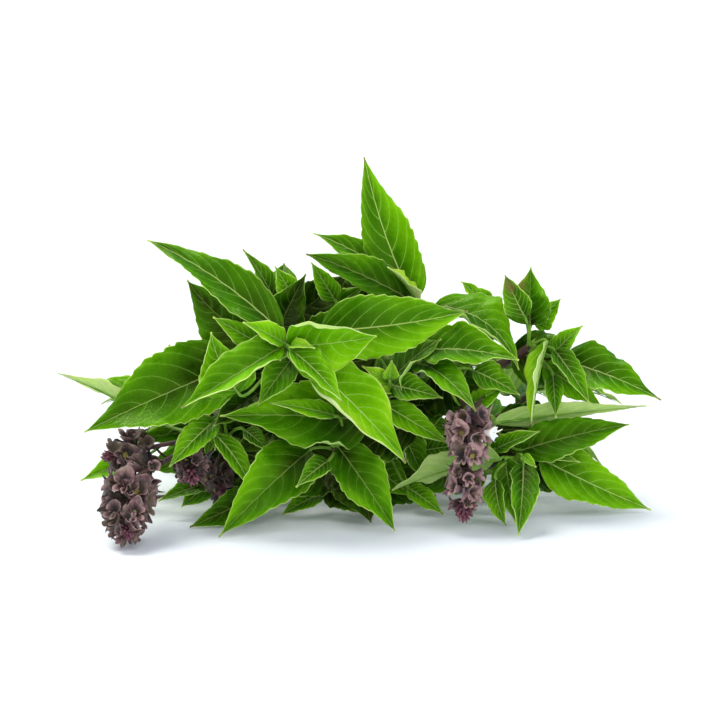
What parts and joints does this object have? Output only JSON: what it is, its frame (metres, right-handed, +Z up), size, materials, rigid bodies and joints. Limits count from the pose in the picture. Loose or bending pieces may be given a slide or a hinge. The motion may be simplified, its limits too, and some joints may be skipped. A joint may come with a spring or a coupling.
{
  "type": "basil bunch",
  "caption": "Laid-down bunch of cut Thai basil: leafy stems fanned out from their cut ends, with purple flower heads hanging at the front.",
  "frame": {"origin": "flat underside of the low front stem where the bunch rests on the surface, near the middle of the bunch", "axes": "+X along the bunch's width, +Y towards the cut stem ends at the back, +Z up from the surface"},
  "size_m": [0.218, 0.1492, 0.1275],
  "materials": {
    "leaf": "satin",
    "flower": "matte"
  },
  "bodies": {
    "root": {"back_left_sprig": "leaf", "back_middle_sprig": "leaf", "back_right_sprig": "leaf", "front_rosette_sprig": "leaf", "inner_left_flower_head": "flower", "left_flower_head": "flower", "left_side_flower_head": "flower", "left_sprig": "leaf", "low_front_sprig": "leaf", "low_left_flower_head": "flower", "low_left_sprig": "leaf", "low_middle_sprig": "leaf", "low_right_sprig": "leaf", "middle_flower_head": "flower", "middle_right_sprig": "leaf", "right_sprig": "leaf", "top_sprig": "leaf", "upper_left_sprig": "leaf", "upper_right_sprig": "leaf"}
  },
  "joints": []
}
